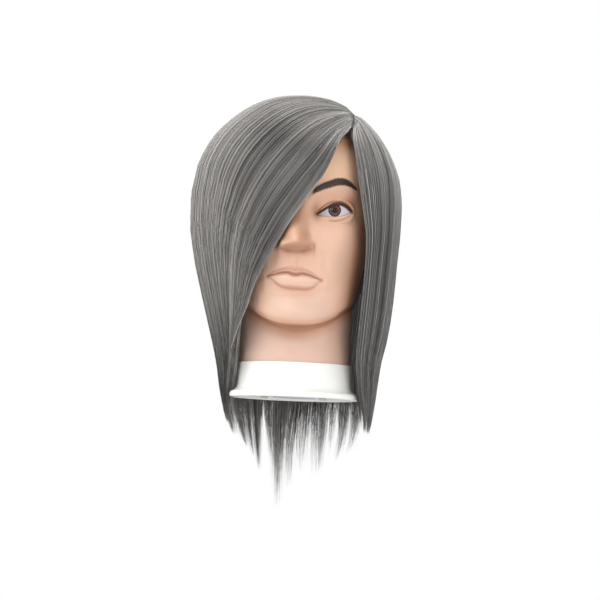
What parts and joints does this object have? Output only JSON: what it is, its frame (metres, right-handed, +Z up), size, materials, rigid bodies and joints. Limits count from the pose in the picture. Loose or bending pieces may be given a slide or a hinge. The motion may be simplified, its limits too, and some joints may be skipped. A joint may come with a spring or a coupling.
{
  "type": "mannequin training head",
  "caption": "Soft vinyl mannequin head for haircutting practice, with grey implanted hair swept from a side parting and a white flanged neck collar with a holder socket.",
  "frame": {"origin": "centre of the holder socket's closed end, on the neck axis, 109 mm above the flange's flat underside", "axes": "+Z up along the neck axis, -Y the way the face looks, +X the mannequin's left"},
  "size_m": [0.203, 0.2315, 0.3948],
  "materials": {
    "skin": "satin",
    "white_plastic": "satin",
    "foam": "matte",
    "plug_plastic": "matte",
    "sleeve_plastic": "satin",
    "screw_steel": "satin",
    "eye_white": "gloss",
    "iris": "gloss",
    "cornea": "gloss",
    "scalp": "matte",
    "hair_grey": "satin",
    "hair_dark": "satin"
  },
  "bodies": {
    "head": {"neck_collar": "white_plastic", "base_disc": "white_plastic", "neck_plug": "plug_plastic", "mount_sleeve": "sleeve_plastic", "base_screw_1": "screw_steel", "base_screw_2": "screw_steel", "base_screw_3": "screw_steel", "base_screw_4": "screw_steel", "eye_white_left": "eye_white", "eye_white_right": "eye_white", "eye_iris_left": "iris", "eye_iris_right": "iris", "eye_cornea_left": "cornea", "eye_cornea_right": "cornea", "head_skin": "skin", "foam_core": "foam", "scalp_cap": "scalp", "hair_under_layer": "hair_dark", "hair_crown": "hair_grey"},
    "fringe": {"hair_fringe": "hair_grey"},
    "side_left": {"hair_side_left": "hair_grey"},
    "side_right": {"hair_side_right": "hair_grey"},
    "back": {"hair_back": "hair_grey"}
  },
  "joints": [
    {"name": "fringe_lift", "type": "hinge", "parent": "head", "child": "fringe", "pos_m": [0, -0.012, 0.183], "axis": [-1, 0, 0], "range_deg": [0, 40]},
    {"name": "side_left_lift", "type": "hinge", "parent": "head", "child": "side_left", "pos_m": [0.047, 0, 0.17], "axis": [0, -1, 0], "range_deg": [0, 35]},
    {"name": "side_right_lift", "type": "hinge", "parent": "head", "child": "side_right", "pos_m": [-0.06, 0, 0.167], "axis": [0, 1, 0], "range_deg": [0, 35]},
    {"name": "back_lift", "type": "hinge", "parent": "head", "child": "back", "pos_m": [0, 0.06, 0.173], "axis": [1, 0, 0], "range_deg": [0, 35]}
  ]
}
